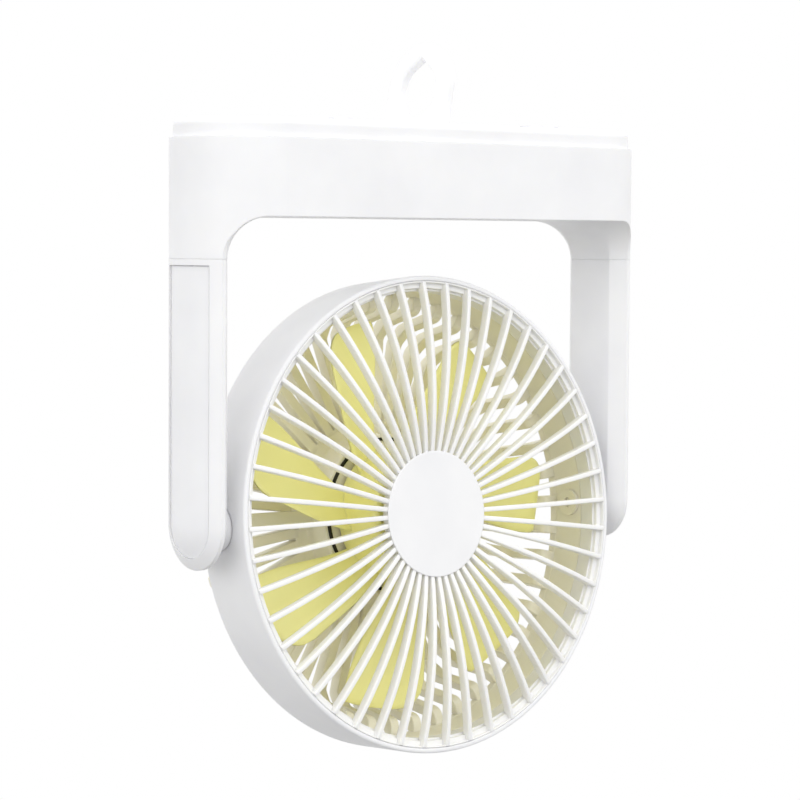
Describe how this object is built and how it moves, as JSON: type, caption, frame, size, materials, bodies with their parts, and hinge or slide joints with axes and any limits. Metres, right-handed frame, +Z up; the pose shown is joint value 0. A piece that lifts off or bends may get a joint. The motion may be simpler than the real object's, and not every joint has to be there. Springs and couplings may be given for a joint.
{
  "type": "camping fan",
  "caption": "Hanging camping fan: rounded battery base with a folding loop, twin arms and a tilting ribbed round head with a wide-bladed yellow impeller.",
  "frame": {"origin": "top of the eye of the hanging loop, where a hook carries the fan", "axes": "+Z up as the fan hangs; the front of the fan head faces -Y; the base runs along X"},
  "size_m": [0.212, 0.0671, 0.2682],
  "materials": {
    "shell_white": "fine satin moulding",
    "grille_white": "satin moulding",
    "blade_yellow": "smooth moulding",
    "foot_grey": "soft matte",
    "steel": "plain ground steel",
    "core_steel": "laminated steel",
    "copper": "enamelled copper wire",
    "nickel": "plated spring steel",
    "board_green": "solder mask over glass laminate",
    "black_plastic": "matte",
    "black_rubber": "matte",
    "cell_wrap": "shrink sleeve",
    "cradle_grey": "matte moulding",
    "button_white": "satin moulding",
    "lens_clear": "clear moulded light guide",
    "magnet_dark": "bonded ferrite"
  },
  "bodies": {
    "frame": {"base_body": "shell_white", "base_cap": "shell_white", "feet": "foot_grey", "cap_screws": "steel", "loop_pin": "steel", "battery_cells": "cell_wrap", "battery_cradle": "cradle_grey", "battery_contacts": "nickel", "control_board": "board_green", "board_screws": "steel", "tact_switch": "black_plastic", "usb_port": "nickel", "indicator_lens": "lens_clear", "left_arm": "shell_white", "right_arm": "shell_white", "left_arm_cover": "shell_white", "right_arm_cover": "shell_white", "arm_screws": "steel", "pivot_washers": "black_rubber", "arm_lead": "black_rubber"},
    "fan_button": {"fan_button": "button_white"},
    "loop": {"hanging_loop": "shell_white"},
    "head": {"fan_drum": "shell_white", "front_grille": "grille_white", "hub_cap": "grille_white", "rear_guard": "grille_white", "motor_cover": "shell_white", "lead_cover": "grille_white", "left_pivot_boss": "shell_white", "right_pivot_boss": "shell_white", "left_axle": "grille_white", "right_axle": "grille_white", "axle_clips": "steel", "head_lead": "black_rubber", "stator_core": "core_steel", "stator_coils": "copper", "motor_board": "board_green", "motor_gasket": "black_rubber", "shaft_bearings": "steel"},
    "impeller": {"impeller": "blade_yellow", "rotor_cup": "core_steel", "magnet_ring": "magnet_dark", "motor_shaft": "steel", "shaft_clip": "steel"}
  },
  "joints": [
    {"name": "head_tilt", "type": "hinge", "parent": "frame", "child": "head", "pos_m": [-0.00662, 0, -0.17262], "axis": [1, 0, 0], "range_deg": [-130.5, 139.5]},
    {"name": "impeller_spin", "type": "hinge", "parent": "head", "child": "impeller", "pos_m": [-0.00662, 0, -0.17262], "axis": [0, -0.9969, 0.0785], "continuous": true},
    {"name": "loop_fold", "type": "hinge", "parent": "frame", "child": "loop", "pos_m": [-0.00462, 0, -0.02762], "axis": [0, 1, 0], "range_deg": [-9.5, 80.5]},
    {"name": "fan_button_press", "type": "slide", "parent": "frame", "child": "fan_button", "axis": [0, -1, 0], "range_m": [0, 0.0005], "stiffness_N_per_m": 1500, "springref_m": -0.0005}
  ]
}
